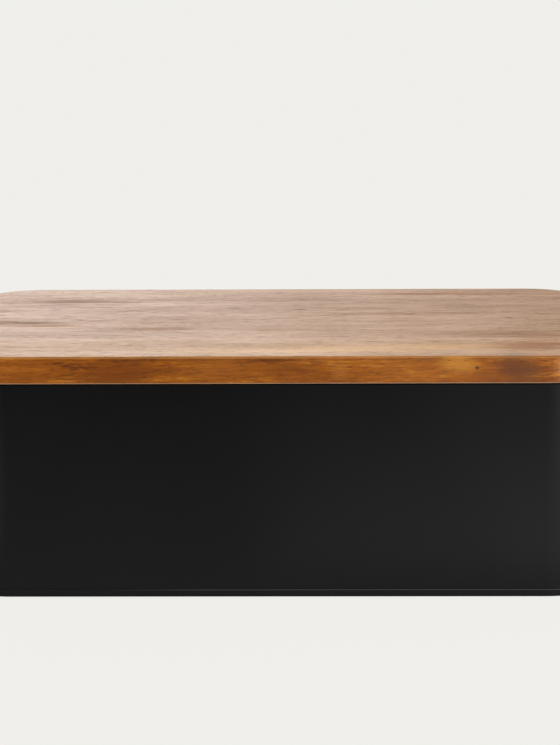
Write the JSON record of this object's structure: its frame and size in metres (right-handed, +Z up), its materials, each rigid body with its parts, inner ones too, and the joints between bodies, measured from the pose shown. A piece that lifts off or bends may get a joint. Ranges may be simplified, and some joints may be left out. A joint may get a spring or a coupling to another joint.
{
  "type": "bread box",
  "caption": "Low powder-coated steel bread box with rounded corners, closed by a loose acacia board lid whose milled step drops inside the rim.",
  "frame": {"origin": "middle of the footprint, on the surface that the feet stand on", "axes": "+X along the length, towards the viewer's right; +Z up, the way the lid lifts; the front faces -Y"},
  "size_m": [0.34, 0.21, 0.126],
  "materials": {
    "powder_coat": "matte black powder coat",
    "acacia": "oiled acacia, satin",
    "foot_rubber": "matte"
  },
  "bodies": {
    "box": {"body_wall": "powder_coat", "base_pan": "powder_coat", "foot_front_left": "foot_rubber", "foot_front_right": "foot_rubber", "foot_back_left": "foot_rubber", "foot_back_right": "foot_rubber"},
    "lid": {"lid_stave_1": "acacia", "lid_stave_2": "acacia", "lid_stave_3": "acacia", "lid_stave_4": "acacia"}
  },
  "joints": [
    {"name": "lid_lift", "type": "slide", "parent": "box", "child": "lid", "axis": [0, 0, 1], "range_m": [0, 0.16]}
  ]
}
